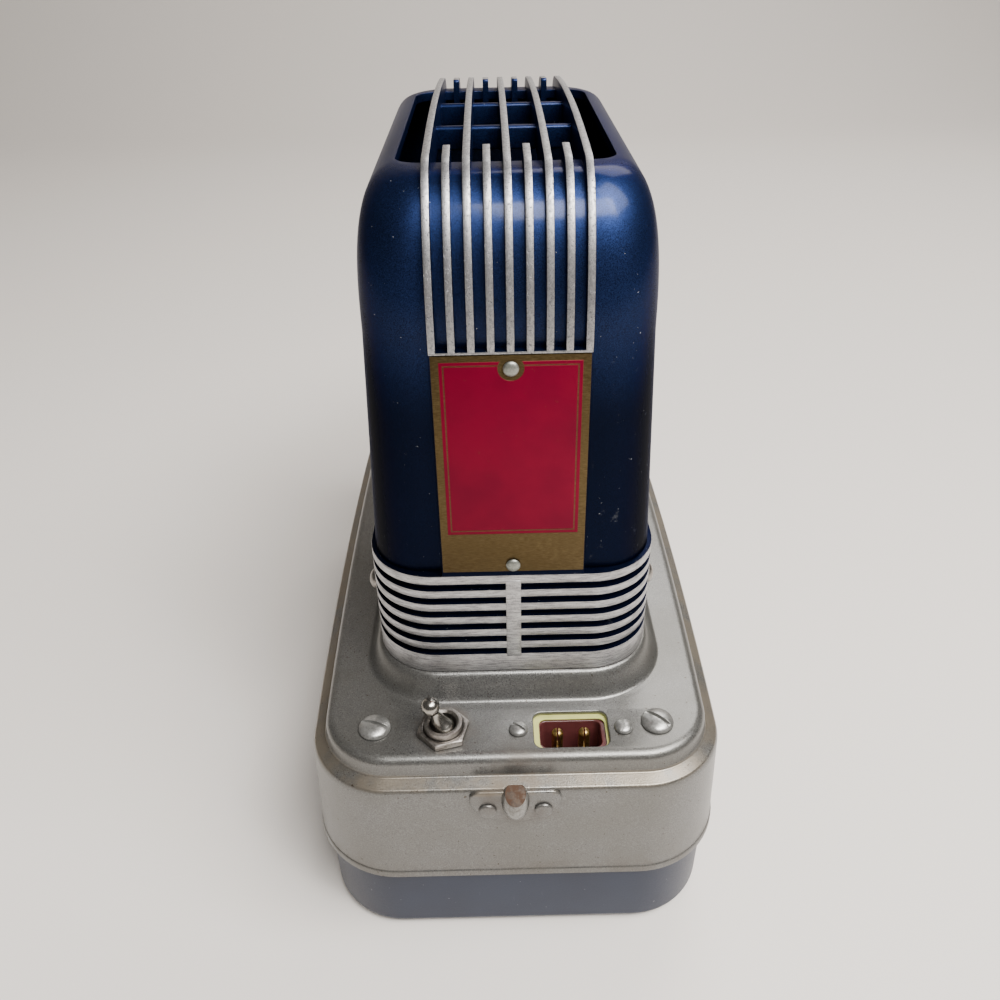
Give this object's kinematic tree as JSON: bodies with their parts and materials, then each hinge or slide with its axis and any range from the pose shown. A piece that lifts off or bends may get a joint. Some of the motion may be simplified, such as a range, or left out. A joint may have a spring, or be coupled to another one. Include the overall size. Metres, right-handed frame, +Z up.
{
  "type": "slide projector",
  "caption": "Slide projector: finned cast lamphouse on a pressed base, lens tube, slide carrier, fan, toggle switch, power inlet and elevating foot.",
  "frame": {"origin": "under the middle of the base, at the plane the feet stand on", "axes": "+Z up, the lens faces -Y, +X is to the right seen from behind the lens looking back at it"},
  "size_m": [0.1364, 0.2636, 0.2415],
  "materials": {
    "cover_paint": "hammered",
    "pan_paint": "satin",
    "housing_enamel": "gloss metallic",
    "plate_red": "satin",
    "nickel": "satin",
    "aluminium": "satin",
    "steel": "satin",
    "brass": "satin",
    "copper": "varnished winding",
    "rubber": "matte",
    "phenolic": "satin",
    "insulator": "matte",
    "glass": "clear",
    "mirror": "polished",
    "black": "matte black",
    "knob_plastic": "gloss",
    "ceramic": "unglazed ceramic"
  },
  "bodies": {
    "base": {"base_cover": "cover_paint", "base_pan": "pan_paint", "foot_1": "rubber", "foot_2": "rubber", "foot_3": "rubber", "foot_4": "rubber", "deck_screw_1": "nickel", "deck_screw_2": "nickel", "deck_screw_3": "nickel", "deck_screw_4": "nickel", "catch_rear": "nickel", "catch_front": "nickel", "catch_rivet_rear_right": "nickel", "catch_rivet_rear_left": "nickel", "catch_rivet_front_right": "nickel", "catch_rivet_front_left": "nickel", "lamp_housing": "housing_enamel", "nameplate": "plate_red", "plate_rivet_1": "nickel", "plate_rivet_2": "nickel", "side_screw_1": "nickel", "side_screw_2": "nickel", "side_screw_3": "nickel", "side_screw_4": "nickel", "toggle_switch_body": "phenolic", "toggle_nut": "nickel", "inlet_insulator": "insulator", "inlet_body": "phenolic", "inlet_pin_1": "brass", "inlet_pin_2": "brass", "inlet_screw_1": "nickel", "inlet_screw_2": "nickel", "optics_frame": "steel", "rear_condenser": "glass", "heat_glass": "glass", "front_condenser": "glass", "reflector": "mirror", "lamp_socket": "ceramic", "lamp_base": "brass", "lamp_bulb": "glass", "lamp_filament": "steel", "slide_gate": "black", "lens_tube": "aluminium", "motor_core": "steel", "motor_coil": "copper", "motor_bracket": "steel", "elevating_bracket": "steel"},
    "toggle": {"toggle_lever": "nickel"},
    "carrier": {"slide_carrier": "black"},
    "lens": {"lens_barrel": "aluminium", "front_lens": "glass", "rear_lens": "glass"},
    "focus": {"focus_knob": "knob_plastic", "focus_pinion": "brass"},
    "fan": {"motor_rotor": "steel", "fan_wheel": "aluminium"},
    "wheel": {"elevating_wheel": "brass"},
    "leg": {"elevating_leg": "steel", "leg_tip": "rubber"}
  },
  "joints": [
    {"name": "toggle_throw", "type": "hinge", "parent": "base", "child": "toggle", "pos_m": [0.0222, 0.1098, 0.0799], "axis": [0, 1, 0], "range_deg": [-40, 0]},
    {"name": "carrier_slide", "type": "slide", "parent": "base", "child": "carrier", "axis": [1, 0, 0], "range_m": [0, 0.066]},
    {"name": "lens_focus", "type": "slide", "parent": "base", "child": "lens", "axis": [0, -1, 0], "range_m": [0, 0.034]},
    {"name": "focus_turn", "type": "hinge", "parent": "base", "child": "focus", "pos_m": [0, -0.1048, 0.1288], "axis": [1, 0, 0], "range_deg": [0, 326]},
    {"name": "fan_spin", "type": "hinge", "parent": "base", "child": "fan", "pos_m": [0, 0.0158, 0.06], "axis": [0, 0, 1], "continuous": true},
    {"name": "wheel_turn", "type": "hinge", "parent": "base", "child": "wheel", "pos_m": [0, -0.108, 0.0183], "axis": [0, 0, 1], "range_deg": [0, 1800]},
    {"name": "leg_extend", "type": "slide", "parent": "base", "child": "leg", "axis": [0, 0, -1], "range_m": [0, 0.015]}
  ],
  "couplings": [
    {"joint": "focus_turn", "follows": "lens_focus", "rad_per_m": 166.67},
    {"joint": "leg_extend", "follows": "wheel_turn", "m_per_rad": 0.000477}
  ]
}
